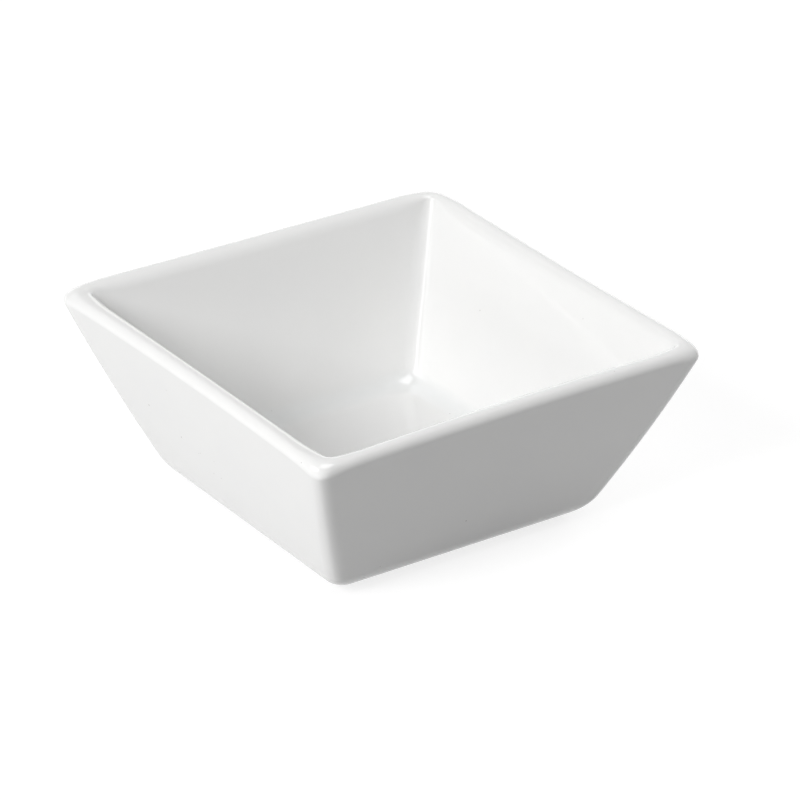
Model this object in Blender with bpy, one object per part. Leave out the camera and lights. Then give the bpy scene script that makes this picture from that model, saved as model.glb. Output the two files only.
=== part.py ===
"""Square tapas dish in white glazed porcelain: one pressed and fired piece with drafted flat walls.

The body is a loft. A profile runs from the middle of the underside, out over the foot ring, up the
outer wall, round the rim, down the inner wall and across the floor. Each point of that profile carries
one rounded square section, and each section is extruded out to the next. Above the floor the four sides
are drawn in a little, as kiln heat does to a square dish. Metres, +Z up, origin on the table under the
middle of the dish.
"""

import math

import bmesh
import bpy

# Outside of the dish, before its sides are drawn in
WIDTH = 0.1100
HEIGHT = 0.0471
# Width of the square in which the wall planes, carried on downwards, would meet the table
WALL_ROOT_WIDTH = 0.0719
# The outer wall stands this much proud of flat, halfway between foot and rim
WALL_CROWN = 0.0004
# Radius that turns the outer wall under into the foot
BASE_ROUND = 0.0108
# Each side is drawn in by this much, halfway along the rim
SIDE_BOW = 0.0010

# Rim: a tight round outside and a soft one inside, which meet on top
RIM_OUTER_ROUND = 0.0018
RIM_INNER_ROUND = 0.0038

# Radii of the four upright edges
OUTER_CORNER = 0.0036
INNER_CORNER = 0.0030

# Inside of the dish
FLOOR_HEIGHT = 0.0070
COVE = 0.0060

# Underside: a square foot ring around a shallow recess
FOOT_RING_WIDTH = 0.0045
RECESS_DEPTH = 0.0015

# Fineness of the round stretches, in steps
CORNER_STEPS = 8
SIDE_STEPS = 8
BASE_STEPS = 10
WALL_STEPS = 4
OUTER_STEPS = 10
INNER_STEPS = 8
COVE_STEPS = 8
RECESS_STEPS = 3

# Glaze colour (linear), its gloss, and the angle above which an edge is shaded sharp
GLAZE_COLOUR = (0.84, 0.84, 0.83, 1.0)
GLAZE_ROUGHNESS = 0.10
GLAZE_IOR = 1.52
SHARP_ANGLE = math.radians(40)


def arc(centre_x, centre_z, radius, start, end, steps):
    """Points (x, z) on a circle of the profile plane, from one angle to another."""
    points = []
    for step in range(steps + 1):
        angle = start + (end - start) * step / steps
        points.append((centre_x + radius * math.cos(angle), centre_z + radius * math.sin(angle)))
    return points


def wall_lean():
    """Lean of the wall from upright: its line leaves the root and just touches the rim's outer round."""
    across = WIDTH / 2 - RIM_OUTER_ROUND - WALL_ROOT_WIDTH / 2
    up = HEIGHT - RIM_OUTER_ROUND
    return math.atan2(across, up) + math.asin(RIM_OUTER_ROUND / math.hypot(across, up))


def underside(lean):
    """Half widths and heights over the recess and the foot ring, with their corner radius."""
    foot_half = WALL_ROOT_WIDTH / 2 - BASE_ROUND * (1 - math.sin(lean)) / math.cos(lean)
    ring_inner = foot_half - FOOT_RING_WIDTH
    recess = arc(ring_inner - RECESS_DEPTH, 0.0, RECESS_DEPTH, math.pi / 2, 0.0, RECESS_STEPS)
    turn = arc(foot_half, BASE_ROUND, BASE_ROUND, -math.pi / 2, -lean, BASE_STEPS)
    return [(half, z, OUTER_CORNER) for half, z in recess + turn]


def outer_wall(start, end, lean):
    """Sections between the turn at the foot and the rim, crowned outwards."""
    sections = []
    for step in range(1, WALL_STEPS):
        t = step / WALL_STEPS
        crown = WALL_CROWN * 4 * t * (1 - t)
        half = start[0] + (end[0] - start[0]) * t + crown * math.cos(lean)
        z = start[1] + (end[1] - start[1]) * t - crown * math.sin(lean)
        sections.append((half, z, OUTER_CORNER))
    return sections


def rim(lean):
    """Sections over the two rounds; the corner radius passes to the inner one over the second."""
    top = WIDTH / 2 - RIM_OUTER_ROUND
    outer = arc(top, HEIGHT - RIM_OUTER_ROUND, RIM_OUTER_ROUND, -lean, math.pi / 2, OUTER_STEPS)
    inner = arc(top, HEIGHT - RIM_INNER_ROUND, RIM_INNER_ROUND, math.pi / 2, math.pi - lean, INNER_STEPS)
    sections = [(half, z, OUTER_CORNER) for half, z in outer]
    for step in range(1, INNER_STEPS + 1):
        corner = OUTER_CORNER + (INNER_CORNER - OUTER_CORNER) * step / INNER_STEPS
        sections.append((*inner[step], corner))
    return sections


def inside(rim_end, lean):
    """Sections of the cove that joins the inner wall, parallel to the outer one, to the floor."""
    floor_half = rim_end[0] - (rim_end[1] - FLOOR_HEIGHT) * math.tan(lean)
    run = COVE / math.tan((math.pi / 2 + lean) / 2)
    cove = arc(floor_half - run, FLOOR_HEIGHT + COVE, COVE, -lean, -math.pi / 2, COVE_STEPS)
    return [(half, z, INNER_CORNER) for half, z in cove]


def drawn_in(x, y, z, half):
    """Moves a point in by the bow of its side: nothing at the corners, and more the higher it lies."""
    bow = SIDE_BOW * max(z - FLOOR_HEIGHT, 0.0) / (HEIGHT - FLOOR_HEIGHT)
    pull_x = bow * (x / half) ** 2 * (1 - (y / half) ** 2)
    pull_y = bow * (y / half) ** 2 * (1 - (x / half) ** 2)
    return (x - math.copysign(pull_x, x), y - math.copysign(pull_y, y), z)


def rounded_square(half, z, corner):
    """Points of a square section with round corners, anticlockwise seen from above."""
    flat = half - corner
    points = []
    for quarter in range(4):
        turn = quarter * math.pi / 2
        outline = arc(flat, flat, corner, 0.0, math.pi / 2, CORNER_STEPS)
        for step in range(1, SIDE_STEPS):
            outline.append((flat - 2 * flat * step / SIDE_STEPS, half))
        for x, y in outline:
            turned_x = x * math.cos(turn) - y * math.sin(turn)
            turned_y = x * math.sin(turn) + y * math.cos(turn)
            points.append(drawn_in(turned_x, turned_y, z, half))
    return points


def first_section(bm, section):
    """The ring of vertices that the loft starts from."""
    verts = [bm.verts.new(point) for point in rounded_square(*section)]
    for index, vert in enumerate(verts):
        bm.edges.new((vert, verts[(index + 1) % len(verts)]))
    return verts


def next_section(bm, ring, section):
    """Extrudes a ring of vertices and moves the new ring out to the next section."""
    edges = [bm.edges.get((ring[index - 1], vert)) for index, vert in enumerate(ring)]
    extruded = set(bmesh.ops.extrude_edge_only(bm, edges=edges)["geom"])
    verts = []
    for vert, point in zip(ring, rounded_square(*section)):
        neighbours = [edge.other_vert(vert) for edge in vert.link_edges]
        fresh = next(other for other in neighbours if other in extruded)
        fresh.co = point
        verts.append(fresh)
    return verts


def glazed_porcelain():
    """White porcelain under a clear gloss glaze."""
    material = bpy.data.materials.new("glazed_white_porcelain")
    material.use_nodes = True
    shader = material.node_tree.nodes["Principled BSDF"]
    shader.inputs["Base Color"].default_value = GLAZE_COLOUR
    shader.inputs["Metallic"].default_value = 0.0
    shader.inputs["Roughness"].default_value = GLAZE_ROUGHNESS
    shader.inputs["IOR"].default_value = GLAZE_IOR
    return material


def make_dish():
    """Lofts the sections of the profile into one closed body."""
    lean = wall_lean()
    below = underside(lean)
    over_rim = rim(lean)
    sections = below + outer_wall(below[-1], over_rim[0], lean) + over_rim + inside(over_rim[-1], lean)

    bm = bmesh.new()
    ring = first_section(bm, sections[0])
    bm.faces.new(ring)
    for section in sections[1:]:
        ring = next_section(bm, ring, section)
    bm.faces.new(ring)
    bmesh.ops.recalc_face_normals(bm, faces=bm.faces)

    mesh = bpy.data.meshes.new("dish")
    bm.to_mesh(mesh)
    bm.free()
    mesh.shade_smooth()
    mesh.set_sharp_from_angle(angle=SHARP_ANGLE)
    mesh.materials.append(glazed_porcelain())
    dish = bpy.data.objects.new("dish", mesh)
    bpy.context.scene.collection.objects.link(dish)
    return dish


def main():
    for old in list(bpy.data.objects):
        bpy.data.objects.remove(old, do_unlink=True)
    make_dish()


main()
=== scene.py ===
"""Square tapas dish in white glazed porcelain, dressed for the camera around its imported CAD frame.

The dish is one piece, so one surface makes it. A profile runs from the middle of the underside, over the
foot ring, up the outer wall, round the rim, down the inner wall and across the floor. Each profile point
carries one rounded square section, and the whole loft is worked out as arrays. Metres, +Z up, origin on
the table under the middle of the dish.
"""

import math

import bpy
import numpy as np
from bpy.props import FloatProperty, FloatVectorProperty, PointerProperty
from mathutils import Matrix, Vector


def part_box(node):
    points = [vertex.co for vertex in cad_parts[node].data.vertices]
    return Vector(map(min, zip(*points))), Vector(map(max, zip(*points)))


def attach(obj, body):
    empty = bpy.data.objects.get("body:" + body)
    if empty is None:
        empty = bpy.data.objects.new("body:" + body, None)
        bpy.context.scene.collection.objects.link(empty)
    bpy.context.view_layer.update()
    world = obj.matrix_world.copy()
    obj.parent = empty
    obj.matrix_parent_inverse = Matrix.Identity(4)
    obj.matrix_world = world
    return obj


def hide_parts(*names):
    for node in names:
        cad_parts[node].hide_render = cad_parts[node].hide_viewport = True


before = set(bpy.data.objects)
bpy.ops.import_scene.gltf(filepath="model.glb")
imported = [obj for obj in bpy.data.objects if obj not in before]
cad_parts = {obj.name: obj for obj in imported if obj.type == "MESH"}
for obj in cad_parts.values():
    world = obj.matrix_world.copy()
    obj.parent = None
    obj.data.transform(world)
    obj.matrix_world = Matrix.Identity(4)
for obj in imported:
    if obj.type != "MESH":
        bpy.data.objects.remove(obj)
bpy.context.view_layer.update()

bl_info = {
    "name": "Tapas Dish",
    "version": (1, 0, 0),
    "blender": (4, 5, 0),
    "location": "View3D > Sidebar > Tapas Dish",
    "description": "Makes a square glazed porcelain dish and the plain studio it stands in",
    "category": "Add Mesh",
}

CAD_NODE = "dish"
CAD_LOW, CAD_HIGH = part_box(CAD_NODE)

# Stations along the profile, and points along each section
STEPS_UNDER, STEPS_RECESS, STEPS_FOOT, STEPS_BASE = 8, 10, 6, 24
STEPS_WALL, STEPS_LIP, STEPS_BROW, STEPS_COVE, STEPS_FLOOR = 30, 24, 20, 20, 10
STEPS_CORNER, STEPS_SIDE = 20, 34

# Photograph's frame in pixels, and the sensor width that Blender's lens length refers to
FRAME_PIXELS = 800
SENSOR_MM = 36.0

# The camera's place against the dish: pixels of focal length, metres, and degrees
FOCAL_PIXELS = 4616.7
CAMERA_DISTANCE = 1.09932
AZIMUTH, ELEVATION, ROLL = -35.408, 26.959, 1.031
AIM_RIGHT, AIM_UP = 0.005572, 0.022728
CLIP_START, CLIP_END = 0.05, 20.0

# Soft boxes: bearing from +X towards +Y and height in degrees, distance and size in metres, and whether only the
# gloss shows them. They face a point this high above the table.
LAMPS = {
    "key_light": (192, 34, 2.2, (0.84, 0.84), False),
    "low_light": (173, 6, 1.0, (0.7, 0.22), False),
    "top_light": (290, 68, 1.0, (0.8, 0.8), False),
    "side_light": (15, 25, 1.0, (1.0, 0.42), False),
    "front_light": (280, 3, 1.0, (1.0, 0.12), False),
    "back_light": (75, 45, 1.0, (1.0, 0.42), False),
    "key_sail": (168, 44, 1.0, (0.5, 0.5), True),
    "top_sail": (290, 88, 1.0, (0.6, 0.6), True),
    "back_sail": (45, 8, 1.0, (1.6, 0.25), True),
}
LAMP_AIM = 0.02

# The room's white walls reach from bearing 298 to 100 degrees: level normals of the two planes that bound them,
# and half the width of their soft edge, as a sine
WHITE_FROM, WHITE_TO = (0.883, 0.469, 0.0), (0.985, 0.174, 0.0)
WALL_EDGE = 0.0015
# The pale sweep round the foot of the room: how white it is, and the sines of the heights where it fades and ends
SWEEP_WHITE = 0.75
SWEEP_FADE, SWEEP_END = 0.06, 0.11

# Floor of the stage: half its width, and a hair under the foot so that the two faces don't fight
FLOOR_REACH = 6.0
FLOOR_LEVEL = -0.00005

# Half width of the smallest section, round the middle of the underside and of the floor
POLE = 0.0008
# A corner's radius takes up no more than this share of its section's half width
CORNER_SHARE = 0.8
# Stretches of the profile before the brow
OUTSIDE = 6

# Glaze: index of refraction, roughness from its smoothest to its least smooth, and roughness of bare biscuit
GLAZE_IOR = 1.52
GLAZE_ROUGHNESS = (0.018, 0.03)
BARE_ROUGHNESS = 0.75
# Patterns, in repeats to the metre: clouds 20 mm wide as the body's whiteness really drifts, cells of 9 mm with a
# speck in each that shows where the surface cuts it, waves of run glaze 9 mm long, orange peel drawn 1.5 mm wide
# because the real 0.5 mm is too fine to show, and grit of 0.6 mm on the bare ring
CLOUDS, CELLS, WAVES, PEEL, GRIT = 50.0, 110.0, 110.0, 670.0, 1670.0
# Range that a noise pattern mostly keeps to
NOISE_LOW, NOISE_HIGH = 0.3, 0.7
# The most that thin glaze, pooled glaze, a scattered speck and a placed one tint the body
THIN_SHARE, POOLED_SHARE, SCATTERED_SHARE, PLACED_SHARE = 0.5, 0.6, 0.5, 0.6
# A scattered speck fades between these shares of its cell, so it is drawn 0.2 mm in radius, coarser than most real
# ones. A placed one fades from this share of its radius.
SCATTERED_CORE, SCATTERED_EDGE = 0.008, 0.024
PLACED_CORE = 0.4
# Height of the glaze's waves in metres, and that of peel and grit against it
RELIEF = 0.00001
PEEL_DEPTH, GRIT_DEPTH = 0.12, 4.0

# Iron specks on the walls and, last, a dark spot of painted shade for a small nick in the rim:
# place and radius in metres
SPECKS_AND_NICK_SHADE = (
    ((-0.0469, 0.0266, 0.0259), 0.00032),
    ((-0.0452, 0.0152, 0.0219), 0.00030),
    ((-0.0445, 0.0088, 0.0202), 0.00018),
    ((-0.0449, 0.0017, 0.0213), 0.00016),
    ((-0.0428, 0.0050, 0.0161), 0.00018),
    ((-0.0429, 0.0017, 0.0163), 0.00020),
    ((-0.0509, 0.0127, 0.0368), 0.00015),
    ((-0.0040, -0.0416, 0.0132), 0.00026),
    ((-0.0497, 0.0068, 0.0465), 0.00040),
)


def linear(hex_colour):
    """Linear red, green, blue of an sRGB hex colour: (c + 0.055) / 1.055 to the 2.4, or c / 12.92 near black."""
    values = [int(hex_colour[start:start + 2], 16) / 255 for start in (0, 2, 4)]
    return tuple(c / 12.92 if c <= 0.04045 else ((c + 0.055) / 1.055) ** 2.4 for c in values)


class DishShape(bpy.types.PropertyGroup):
    """Sizes of the dish, as a potter would measure them."""

    width: FloatProperty(
        name="Width", description="Across the rim, outside to outside, before firing draws the sides in",
        default=0.1100, unit="LENGTH")
    height: FloatProperty(
        name="Height", description="From the table to the top of the rim",
        default=CAD_HIGH.z - CAD_LOW.z, unit="LENGTH")
    wall_root: FloatProperty(
        name="Wall root", description="Width at which the wall planes, carried down, meet the table",
        default=0.0719, unit="LENGTH")
    wall_crown: FloatProperty(
        name="Wall crown", description="How far the outer wall stands proud of flat, halfway up",
        default=0.0004, unit="LENGTH")
    base_round: FloatProperty(
        name="Base round", description="Radius that turns the outer wall under into the foot",
        default=0.0108, unit="LENGTH")
    rim_outer: FloatProperty(
        name="Rim outer round", description="Tight radius between the outer wall and the top of the rim",
        default=0.00182, unit="LENGTH")
    rim_inner: FloatProperty(
        name="Rim inner round", description="Soft radius between the top of the rim and the inner wall",
        default=0.00381, unit="LENGTH")
    rim_outer_corner: FloatProperty(
        name="Rim outer round at corners",
        description="The same outer radius where the sponge wore it at a corner",
        default=0.00269, unit="LENGTH")
    corner_reach: FloatProperty(
        name="Corner reach", description="How far along the rim a corner's wear reaches",
        default=0.0110, unit="LENGTH")
    outer_corner: FloatProperty(
        name="Outer corner", description="Mean radius of the upright outer edges",
        default=0.0042, unit="LENGTH")
    corner_pinch: FloatProperty(
        name="Corner pinch", description="How much tighter than that an outer edge is in its middle",
        default=0.45, min=0, max=0.9, subtype="FACTOR")
    inner_corner: FloatProperty(
        name="Inner corner", description="Mean radius of the upright inner edges under the rim",
        default=0.0032, unit="LENGTH")
    inner_corner_low: FloatProperty(
        name="Inner corner low", description="The same radius down at the floor",
        default=0.0065, unit="LENGTH")
    inner_pinch: FloatProperty(
        name="Inner pinch", description="How much tighter than that an inner edge is in its middle",
        default=0.60, min=0, max=0.9, subtype="FACTOR")
    floor_height: FloatProperty(
        name="Floor height", description="From the table to the floor inside",
        default=0.0070, unit="LENGTH")
    cove: FloatProperty(
        name="Cove", description="Radius between the inner walls and the floor",
        default=0.0060, unit="LENGTH")
    foot_ring: FloatProperty(
        name="Foot ring", description="Width of the flat ring that the dish stands on",
        default=0.0045, unit="LENGTH")
    recess: FloatProperty(
        name="Recess", description="Depth of the underside inside the foot ring",
        default=0.0015, unit="LENGTH")
    side_bow: FloatVectorProperty(
        name="Side bow", description="How far firing drew each rim side in: +X, +Y, -X, -Y",
        size=4, default=(0.00085, 0.00022, 0.00134, 0.00125), unit="LENGTH")
    inner_bow: FloatVectorProperty(
        name="Inner bow", description="The same for the inner wall at each rim side",
        size=4, default=(0.00085, 0.00022, 0.0, 0.00125), unit="LENGTH")
    inner_shift: FloatVectorProperty(
        name="Inner shift", description="How far the inner wall of each rim side stands in over its whole length",
        size=4, default=(0.0, 0.0, 0.0014, 0.0), unit="LENGTH")
    side_turn: FloatProperty(
        name="Side turn", description="How far each end of the -Y side moved, in at +X and out at -X",
        default=0.00107, unit="LENGTH")


class GlazeLook(bpy.types.PropertyGroup):
    """Colours of the porcelain."""

    body: FloatVectorProperty(
        name="Glazed body", description="White porcelain seen through clear glaze",
        size=3, subtype="COLOR", default=linear("EEEEED"), min=0, max=1)
    thin: FloatVectorProperty(
        name="Thin glaze", description="The same body where the glaze lies thinner",
        size=3, subtype="COLOR", default=linear("EBEBEB"), min=0, max=1)
    pooled: FloatVectorProperty(
        name="Pooled glaze", description="Cooler tint where the glaze ran thick in coves and corners",
        size=3, subtype="COLOR", default=linear("E6E8E8"), min=0, max=1)
    biscuit: FloatVectorProperty(
        name="Bare biscuit", description="Unglazed porcelain on the foot ring",
        size=3, subtype="COLOR", default=linear("DDD9D2"), min=0, max=1)
    # Besides the iron specks, this colour paints the shade of a small nick in the rim
    speck: FloatVectorProperty(
        name="Kiln speck", description="Tiny iron specks under the glaze",
        size=3, subtype="COLOR", default=linear("8F8983"), min=0, max=1)


class StudioLook(bpy.types.PropertyGroup):
    """Light and floor of the plain studio."""

    floor: FloatVectorProperty(
        name="Floor", description="Pale studio floor",
        size=3, subtype="COLOR", default=linear("B3B3B3"), min=0, max=1)
    floor_seen: FloatVectorProperty(
        name="Floor as seen", description="Colour that the floor's own light has for the camera, under its white",
        size=3, subtype="COLOR", default=linear("909090"), min=0, max=1)
    floor_white: FloatProperty(
        name="Floor white", description="White that the camera sees in the floor's shadows too",
        default=0.805, min=0)
    ambient: FloatProperty(
        name="Ambient", description="Even light from the whole room", default=0.08, min=0)
    key_light: FloatProperty(
        name="Key light", description="Soft box on the left",
        default=35.0, min=0, unit="POWER")
    low_light: FloatProperty(
        name="Low light", description="Low strip on the left, near the floor",
        default=2.52, min=0, unit="POWER")
    top_light: FloatProperty(
        name="Top light", description="Soft box high above the front",
        default=2.9, min=0, unit="POWER")
    side_light: FloatProperty(
        name="Side light", description="Wide soft box behind the dish on the right",
        default=4.45, min=0, unit="POWER")
    front_light: FloatProperty(
        name="Front light", description="Low strip in front on the right",
        default=0.48, min=0, unit="POWER")
    back_light: FloatProperty(
        name="Back light", description="Soft box high behind the dish",
        default=1.4, min=0, unit="POWER")
    key_sail: FloatProperty(
        name="Key sail", description="White cloth by the key, seen in the gloss",
        default=3.0, min=0, unit="POWER")
    top_sail: FloatProperty(
        name="Top sail", description="White cloth overhead, seen in the gloss",
        default=4.0, min=0, unit="POWER")
    back_sail: FloatProperty(
        name="Back sail", description="Low white cloth behind the dish, seen in the gloss",
        default=1.1, min=0, unit="POWER")


def arc(centre_x, centre_z, radius, start, end, steps):
    """Profile points on a circle: centre plus radius times the cosine and sine of even angles."""
    angle = np.linspace(start, end, steps)
    return np.stack([centre_x + radius * np.cos(angle), centre_z + radius * np.sin(angle)], axis=1)


def eased(steps):
    """Fractions from 0 to 1 that crowd towards both ends: half of one minus the cosine of a half turn."""
    return 0.5 - 0.5 * np.cos(np.linspace(0.0, math.pi, steps))


def wall_lean(shape):
    """Lean of the wall from upright: its line leaves the root and just touches the rim's outer round."""
    across = (shape.width - shape.wall_root) / 2 - shape.rim_outer
    up = shape.height - shape.rim_outer
    return math.atan2(across, up) + math.asin(shape.rim_outer / math.hypot(across, up))


def dish_profile(shape, lip, brow):
    """Half width and height of each section, stretch by stretch, for one pair of rim rounds.

    The lip is a circle that touches the outer wall line and the top, and the brow is one that touches the top
    at the same place. The base round touches the wall line and the table. The inner wall runs parallel to the
    outer one, and the cove is a circle that touches it and the floor.
    """
    lean = wall_lean(shape)
    foot_half = shape.wall_root / 2 - shape.base_round * (1 - math.sin(lean)) / math.cos(lean)
    ring_half = foot_half - shape.foot_ring
    under_x = np.linspace(POLE, ring_half - shape.recess, STEPS_UNDER)[:-1]
    under = np.stack([under_x, np.full_like(under_x, shape.recess)], axis=1)
    recess = arc(ring_half - shape.recess, 0.0, shape.recess, math.pi / 2, 0.0, STEPS_RECESS)
    foot_x = ring_half + (foot_half - ring_half) * eased(STEPS_FOOT)
    foot = np.stack([foot_x, np.zeros_like(foot_x)], axis=1)[1:-1]
    base = arc(foot_half, shape.base_round, shape.base_round, -math.pi / 2, -lean, STEPS_BASE)

    top = shape.wall_root / 2 + (shape.height - lip) * math.tan(lean) - lip / math.cos(lean)
    outer_rim = arc(top, shape.height - lip, lip, -lean, math.pi / 2, STEPS_LIP)
    inner_rim = arc(top, shape.height - brow, brow, math.pi / 2, math.pi - lean, STEPS_BROW)[1:]
    t = eased(STEPS_WALL)[1:-1, None]
    crown = shape.wall_crown * 4 * t * (1 - t) * np.array([math.cos(lean), -math.sin(lean)])
    wall = base[-1] + (outer_rim[0] - base[-1]) * t + crown

    floor_half = inner_rim[-1, 0] - (inner_rim[-1, 1] - shape.floor_height) * math.tan(lean)
    run = shape.cove / math.tan((math.pi / 2 + lean) / 2)
    cove = arc(floor_half - run, shape.floor_height + shape.cove, shape.cove, -lean, -math.pi / 2, STEPS_COVE)
    inner = inner_rim[-1] + (cove[0] - inner_rim[-1]) * t
    floor_x = (floor_half - run) * (1 - eased(STEPS_FLOOR)) + POLE * eased(STEPS_FLOOR)
    floor = np.stack([floor_x, np.full_like(floor_x, shape.floor_height)], axis=1)[1:]
    return [under, recess, foot, base, wall, outer_rim, inner_rim, inner, cove, floor]


def spread(stretches, values):
    """One value per section from a number or an array for each stretch."""
    return np.concatenate([np.broadcast_to(value, len(stretch)) for stretch, value in zip(stretches, values)])


def loft(side, tip, corner, pinch, reach):
    """Sections as an array of stations by points: four round corners joined by four straight sides.

    A corner turns through a quarter circle while its radius swings about the mean, as one plus the pinch times
    the cosine of four times the angle, so its middle is tighter than its shoulders. The points are that radius
    added up along the turn. A side point lies an eased fraction of the way from the end of one corner to the
    next. Within reach of a diagonal the side's profile passes smoothly into the tip's, which scales and lowers
    the point.
    """
    half, radius, pinch = side[:, 0, None, None], corner[:, None, None], pinch[:, None, None]
    turn = np.arange(4)[None, :, None] * math.pi / 2
    angle = np.linspace(0.0, math.pi / 2, STEPS_CORNER)[None, None, :]
    start = half - radius * (1 - pinch / 15)
    ahead = start + radius * (np.cos(angle) + pinch * (np.cos(5 * angle) / 10 - np.cos(3 * angle) / 6))
    aside = start + radius * (np.sin(angle) + pinch * (np.sin(5 * angle) / 10 + np.sin(3 * angle) / 6))
    round_x = ahead * np.cos(turn) - aside * np.sin(turn)
    round_y = ahead * np.sin(turn) + aside * np.cos(turn)
    fraction = eased(STEPS_SIDE)[None, None, 1:-1]
    side_x = round_x[:, :, -1:] * (1 - fraction) + np.roll(round_x, -1, axis=1)[:, :, :1] * fraction
    side_y = round_y[:, :, -1:] * (1 - fraction) + np.roll(round_y, -1, axis=1)[:, :, :1] * fraction
    x = np.concatenate([round_x, side_x], axis=2).reshape(len(side), -1)
    y = np.concatenate([round_y, side_y], axis=2).reshape(len(side), -1)
    near = np.clip(1 - np.abs(np.abs(x) - np.abs(y)) / reach, 0, 1)
    worn = near ** 2 * (3 - 2 * near)
    scale = 1 + worn * (tip[:, 0] / side[:, 0] - 1)[:, None]
    z = side[:, 1, None] + worn * (tip[:, 1] - side[:, 1])[:, None]
    return np.stack([x * scale, y * scale, z], axis=2)


def fired(surface, half, inside, shape):
    """Draws the four sides in as firing does: nothing at the floor, the full bow halfway along the rim.

    A side's bow falls off as one minus the square of the distance along it, and grows with height. Over the
    rim it passes from the outer wall's bow to the inner wall's, and to the distance that this one stands in.
    One side has also turned a little, in at one end and out at the other.
    """
    x, y, z = surface[..., 0], surface[..., 1], surface[..., 2]
    across, along = x / half[:, None], y / half[:, None]
    rise = np.clip((z - shape.floor_height) / (shape.height - shape.floor_height), 0, 1)
    bow = np.outer(1 - inside, shape.side_bow) + np.outer(inside, shape.inner_bow)
    shift = np.outer(inside, shape.inner_shift)
    right, back, left, front = (
        bow[:, side, None] * (1 - (across if side % 2 else along) ** 2) + shift[:, side, None] for side in range(4))
    pull_x = np.where(x > 0, -right, left) * across ** 2 * rise
    pull_y = np.where(y > 0, -back, front + shape.side_turn * across) * along ** 2 * rise
    return np.stack([x + pull_x, y + pull_y, z], axis=2)


def closed_mesh(name, surface, attributes):
    """A mesh of quads between neighbouring stations, closed by a fan at the middle of each end."""
    stations, around = surface.shape[:2]
    verts = np.concatenate([surface.reshape(-1, 3), [surface[0].mean(0)], [surface[-1].mean(0)]])
    row = np.arange(stations - 1)[:, None] * around
    column = np.arange(around)[None, :]
    after = (column + 1) % around
    quads = np.stack([row + column, row + after, row + around + after, row + around + column], axis=2)
    ring, following = np.arange(around), (np.arange(around) + 1) % around
    last = (stations - 1) * around
    first_fan = np.stack([following, ring, np.full(around, len(verts) - 2)], axis=1)
    last_fan = np.stack([last + ring, last + following, np.full(around, len(verts) - 1)], axis=1)
    mesh = bpy.data.meshes.new(name)
    faces = quads.reshape(-1, 4).tolist() + first_fan.tolist() + last_fan.tolist()
    mesh.from_pydata(verts, [], faces)
    for attribute, values in attributes.items():
        layer = mesh.attributes.new(attribute, "FLOAT", "POINT")
        per_vertex = np.concatenate([np.repeat(values, around), values[:1], values[-1:]])
        layer.data.foreach_set("value", per_vertex.astype(np.float32))
    mesh.shade_smooth()
    mesh.validate()
    return mesh


def add_node(tree, kind, settings, inputs):
    """Adds a node, sets its properties, and gives each named or numbered socket a value or a link."""
    node = tree.nodes.new(kind)
    for name, value in settings.items():
        setattr(node, name, value)
    for key, value in inputs.items():
        if isinstance(value, bpy.types.NodeSocket):
            tree.links.new(value, node.inputs[key])
        else:
            node.inputs[key].default_value = value
    return node


def mixed(tree, factor, first, second):
    """Colour socket that passes from the first colour to the second by a factor."""
    node = add_node(tree, "ShaderNodeMix", {"data_type": "RGBA"}, {0: factor, 6: first, 7: second})
    return node.outputs[2]


def worked(tree, operation, *values):
    """Number socket: an operation on numbers or sockets."""
    return add_node(tree, "ShaderNodeMath", {"operation": operation}, dict(enumerate(values))).outputs[0]


def ramp(tree, value, start, end, low, high):
    """Number socket that passes from low to high while the value passes from start to end."""
    node = add_node(tree, "ShaderNodeMapRange", {}, {
        "Value": value, "From Min": start, "From Max": end, "To Min": low, "To Max": high})
    return node.outputs[0]


def noise(tree, place, scale, detail):
    """Number socket of a cloudy pattern."""
    node = add_node(tree, "ShaderNodeTexNoise", {}, {"Vector": place, "Scale": scale, "Detail": detail})
    return node.outputs["Fac"]


def fresh_material(name):
    """An empty node material and its tree."""
    material = bpy.data.materials.new(name)
    material.use_nodes = True
    material.node_tree.nodes.clear()
    return material, material.node_tree


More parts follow.
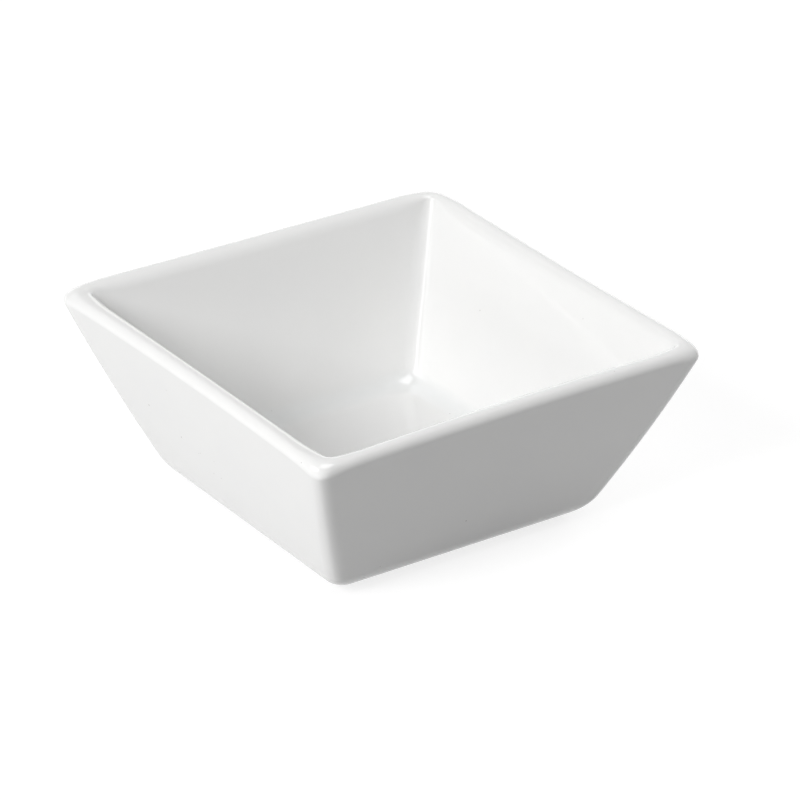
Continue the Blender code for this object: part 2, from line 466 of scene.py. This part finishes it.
def glazed_white_porcelain(look):
    """Hard white porcelain dipped in clear glaze and fired to gloss, wiped bare on the foot ring.

    The body's colour drifts by about one part in a hundred in clouds some 20 mm wide, turns cooler where the glaze
    pooled in the coves, and carries sparse iron specks. The surface keeps the slow waves of run glaze and a
    fine orange peel. What that gives the eye is an even soft white with sharp, slightly wavering reflections.
    """
    material, tree = fresh_material("glazed_white_porcelain")
    place = add_node(tree, "ShaderNodeTexCoord", {}, {}).outputs["Object"]
    bare = add_node(tree, "ShaderNodeAttribute", {"attribute_name": "bare"}, {}).outputs["Fac"]
    pooled = add_node(tree, "ShaderNodeAttribute", {"attribute_name": "pooled"}, {}).outputs["Fac"]

    clouds = noise(tree, place, CLOUDS, detail=2.0)
    drift = ramp(tree, clouds, NOISE_LOW, NOISE_HIGH, 0.0, THIN_SHARE)
    colour = mixed(tree, drift, (*look.body, 1.0), (*look.thin, 1.0))
    thick = worked(tree, "MULTIPLY", pooled, POOLED_SHARE)
    colour = mixed(tree, thick, colour, (*look.pooled, 1.0))

    cells = add_node(tree, "ShaderNodeTexVoronoi", {}, {"Vector": place, "Scale": CELLS})
    speck = ramp(tree, cells.outputs["Distance"], SCATTERED_CORE, SCATTERED_EDGE, SCATTERED_SHARE, 0.0)
    # The last placed speck is painted shade: a dark spot for a small nick in the rim
    for spot, radius in SPECKS_AND_NICK_SHADE:
        away = add_node(tree, "ShaderNodeVectorMath", {"operation": "DISTANCE"}, {0: place, 1: spot})
        dot = ramp(tree, away.outputs["Value"], PLACED_CORE * radius, radius, PLACED_SHARE, 0.0)
        speck = worked(tree, "MAXIMUM", speck, dot)
    colour = mixed(tree, speck, colour, (*look.speck, 1.0))
    colour = mixed(tree, bare, colour, (*look.biscuit, 1.0))

    waves = noise(tree, place, WAVES, detail=1.0)
    peel = noise(tree, place, PEEL, detail=0.0)
    grit = noise(tree, place, GRIT, detail=2.0)
    skin = worked(tree, "MULTIPLY_ADD", peel, PEEL_DEPTH, waves)
    rough_skin = worked(tree, "MULTIPLY", grit, GRIT_DEPTH)
    height = add_node(tree, "ShaderNodeMix", {}, {"Factor": bare, "A": skin, "B": rough_skin})
    bump = add_node(tree, "ShaderNodeBump", {}, {
        "Height": height.outputs[0], "Strength": 1.0, "Distance": RELIEF})
    gloss = ramp(tree, clouds, NOISE_LOW, NOISE_HIGH, *GLAZE_ROUGHNESS)
    roughness = add_node(tree, "ShaderNodeMix", {}, {"Factor": bare, "A": gloss, "B": BARE_ROUGHNESS})

    shader = add_node(tree, "ShaderNodeBsdfPrincipled", {}, {
        "Base Color": colour, "Roughness": roughness.outputs[0], "Normal": bump.outputs[0],
        "IOR": GLAZE_IOR, "Metallic": 0.0})
    add_node(tree, "ShaderNodeOutputMaterial", {}, {"Surface": shader.outputs["BSDF"]})
    return material


class TAPAS_OT_dish_body(bpy.types.Operator):
    """Makes the glazed dish over its CAD solid"""

    bl_idname = "tapas.dish_body"
    bl_label = "Dish body"

    def execute(self, context):
        shape = context.scene.tapas_shape
        lean = math.sin(wall_lean(shape))
        thick = shape.rim_outer * (1 + lean) + shape.rim_inner * (1 - lean)
        worn_brow = (thick - shape.rim_outer_corner * (1 + lean)) / (1 - lean)
        stretches = dish_profile(shape, shape.rim_outer, shape.rim_inner)
        side = np.concatenate(stretches)
        tip = np.concatenate(dish_profile(shape, shape.rim_outer_corner, worn_brow))

        # From the outer corner to the inner one over the brow, and wider down the inner wall
        passing = np.linspace(shape.outer_corner, shape.inner_corner, STEPS_BROW)[1:]
        opening = np.linspace(shape.inner_corner, shape.inner_corner_low, STEPS_WALL - 2)
        radii = [shape.outer_corner] * OUTSIDE + [passing, opening] + [shape.inner_corner_low] * 2
        corner = np.minimum(spread(stretches, radii), CORNER_SHARE * side[:, 0])
        tighter = np.linspace(shape.corner_pinch, shape.inner_pinch, STEPS_BROW)[1:]
        pinch = spread(stretches, [shape.corner_pinch] * OUTSIDE + [tighter] + [shape.inner_pinch] * 3)
        inside = spread(stretches, [0] * OUTSIDE + [np.sin(np.linspace(0, math.pi / 2, STEPS_BROW)[1:])] + [1] * 3)
        surface = fired(loft(side, tip, corner, pinch, shape.corner_reach), side[:, 0], inside, shape)

        # The foot ring is bare, and glaze pools in the cove
        bare = spread(stretches, [0, 0, 1, 0, 0, 0, 0, 0, 0, 0])
        pooled = spread(stretches, [0] * 8 + [np.sin(np.linspace(0, math.pi, STEPS_COVE)), 0])
        mesh = closed_mesh("dish_body", surface, {"bare": bare, "pooled": pooled})
        mesh.materials.append(glazed_white_porcelain(context.scene.tapas_glaze))
        piece = bpy.data.objects.new("dish_body", mesh)
        context.scene.collection.objects.link(piece)
        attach(piece, "root")
        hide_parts(CAD_NODE)
        return {"FINISHED"}


def photograph_camera(context):
    """A long lens at the photograph's viewing angle, looking at a point beside the middle of the dish."""
    az, el, roll = (math.radians(angle) for angle in (AZIMUTH, ELEVATION, ROLL))
    back = Vector((math.sin(az) * math.cos(el), -math.cos(az) * math.cos(el), math.sin(el)))
    right = Vector((math.cos(az), math.sin(az), 0.0))
    up = back.cross(right)
    right, up = right * math.cos(roll) + up * math.sin(roll), up * math.cos(roll) - right * math.sin(roll)
    data = bpy.data.cameras.new("photograph_camera")
    data.sensor_width = SENSOR_MM
    data.lens = FOCAL_PIXELS / FRAME_PIXELS * SENSOR_MM
    data.clip_start, data.clip_end = CLIP_START, CLIP_END
    camera = bpy.data.objects.new("photograph_camera", data)
    place = right * AIM_RIGHT + up * AIM_UP + back * CAMERA_DISTANCE
    turn = Matrix((right, up, back)).transposed().to_4x4()
    camera.matrix_world = Matrix.Translation(place) @ turn
    context.scene.collection.objects.link(camera)
    context.scene.camera = camera


def soft_box(context, name, power, bearing, elevation, distance, size, in_gloss):
    """A lamp that faces the dish, placed as the table of lamps says.

    It either lights the dish and stays out of its reflections, as a lamp behind a cloth does, or is the cloth,
    which only the gloss shows.
    """
    data = bpy.data.lights.new(name, "AREA")
    data.shape = "RECTANGLE"
    data.size, data.size_y = size
    data.energy = power
    lamp = bpy.data.objects.new(name, data)
    lamp.visible_glossy, lamp.visible_diffuse = in_gloss, not in_gloss
    turn, tilt = math.radians(bearing), math.radians(elevation)
    way = Vector((math.cos(tilt) * math.cos(turn), math.cos(tilt) * math.sin(turn), math.sin(tilt)))
    place = way * distance
    aim = Vector((0.0, 0.0, LAMP_AIM)) - place
    lamp.matrix_world = Matrix.Translation(place) @ aim.to_track_quat("-Z", "Y").to_matrix().to_4x4()
    context.scene.collection.objects.link(lamp)


def mirrored(tree, path):
    """One for a reflection or a view through glass, from a Light Path node's outputs."""
    return worked(tree, "MAXIMUM", path["Is Glossy Ray"], path["Is Transmission Ray"])


def matt_pale_paper(look):
    """Matt pale paper: white where the camera or a reflection sees it, and it keeps the dish's faint shadow."""
    material, tree = fresh_material("matt_pale_paper")
    path = add_node(tree, "ShaderNodeLightPath", {}, {}).outputs
    seen = worked(tree, "MAXIMUM", path["Is Camera Ray"], mirrored(tree, path))
    tone = mixed(tree, seen, (*look.floor, 1.0), (*look.floor_seen, 1.0))
    paper = add_node(tree, "ShaderNodeBsdfDiffuse", {}, {"Color": tone})
    lift = worked(tree, "MULTIPLY", seen, look.floor_white)
    white = add_node(tree, "ShaderNodeEmission", {}, {"Strength": lift})
    both = add_node(tree, "ShaderNodeAddShader", {}, {0: paper.outputs[0], 1: white.outputs[0]})
    add_node(tree, "ShaderNodeOutputMaterial", {}, {"Surface": both.outputs[0]})
    return material


def white_room(look):
    """The world: white to the camera, an even glow for shading, and in the gloss a room half white, half dark.

    The gloss sees white between two upright planes, so on the right and behind, where both dot products are above
    nought. Round the camera it sees dark above a low pale sweep, which leaves the dark strip in the glaze at the
    left inner corner.
    """
    world = bpy.data.worlds.new("white_room")
    world.use_nodes = True
    tree = world.node_tree
    tree.nodes.clear()
    path = add_node(tree, "ShaderNodeLightPath", {}, {}).outputs
    way = add_node(tree, "ShaderNodeTexCoord", {}, {}).outputs["Generated"]
    after, before = (
        add_node(tree, "ShaderNodeVectorMath", {"operation": "DOT_PRODUCT"}, {0: way, 1: normal}).outputs["Value"]
        for normal in (WHITE_FROM, WHITE_TO))
    walls = ramp(tree, worked(tree, "MINIMUM", after, before), -WALL_EDGE, WALL_EDGE, 0.0, 1.0)
    rise = add_node(tree, "ShaderNodeSeparateXYZ", {}, {0: way}).outputs["Z"]
    sweep = ramp(tree, rise, SWEEP_FADE, SWEEP_END, SWEEP_WHITE, 0.0)
    gloss = worked(tree, "MULTIPLY", mirrored(tree, path), worked(tree, "MAXIMUM", walls, sweep))
    seen = worked(tree, "MAXIMUM", gloss, path["Is Camera Ray"])
    glow = worked(tree, "MULTIPLY_ADD", path["Is Diffuse Ray"], look.ambient, seen)
    sky = add_node(tree, "ShaderNodeBackground", {}, {"Strength": glow})
    add_node(tree, "ShaderNodeOutputWorld", {}, {"Surface": sky.outputs[0]})
    return world


class TAPAS_OT_studio(bpy.types.Operator):
    """Makes the pale floor, the soft lamps, the world and the camera"""

    bl_idname = "tapas.studio"
    bl_label = "Studio"

    def execute(self, context):
        look = context.scene.tapas_studio
        mesh = bpy.data.meshes.new("studio_floor")
        corners = [(x * FLOOR_REACH, y * FLOOR_REACH, FLOOR_LEVEL) for x, y in ((-1, -1), (1, -1), (1, 1), (-1, 1))]
        mesh.from_pydata(corners, [], [(0, 1, 2, 3)])
        mesh.materials.append(matt_pale_paper(look))
        floor = bpy.data.objects.new("studio_floor", mesh)
        context.scene.collection.objects.link(floor)
        for name, setting in LAMPS.items():
            soft_box(context, name, getattr(look, name), *setting)
        context.scene.world = white_room(look)
        context.scene.view_settings.view_transform = "Standard"
        photograph_camera(context)
        return {"FINISHED"}


class TAPAS_PT_panel(bpy.types.Panel):
    """Lists the sizes, the finish and the steps that make the dish"""

    bl_label = "Tapas Dish"
    bl_idname = "TAPAS_PT_panel"
    bl_space_type = "VIEW_3D"
    bl_region_type = "UI"
    bl_category = "Tapas Dish"

    def draw(self, context):
        for group in (context.scene.tapas_shape, context.scene.tapas_glaze, context.scene.tapas_studio):
            box = self.layout.box()
            for name in group.__annotations__:
                box.prop(group, name)
        for operator in (TAPAS_OT_dish_body, TAPAS_OT_studio):
            self.layout.operator(operator.bl_idname)


CLASSES = (DishShape, GlazeLook, StudioLook, TAPAS_OT_dish_body, TAPAS_OT_studio, TAPAS_PT_panel)


def register():
    for cls in CLASSES:
        bpy.utils.register_class(cls)
    bpy.types.Scene.tapas_shape = PointerProperty(type=DishShape)
    bpy.types.Scene.tapas_glaze = PointerProperty(type=GlazeLook)
    bpy.types.Scene.tapas_studio = PointerProperty(type=StudioLook)


def unregister():
    del bpy.types.Scene.tapas_shape
    del bpy.types.Scene.tapas_glaze
    del bpy.types.Scene.tapas_studio
    for cls in reversed(CLASSES):
        bpy.utils.unregister_class(cls)


def main():
    register()
    bpy.ops.tapas.dish_body()
    bpy.ops.tapas.studio()


if __name__ == "__main__":
    main()
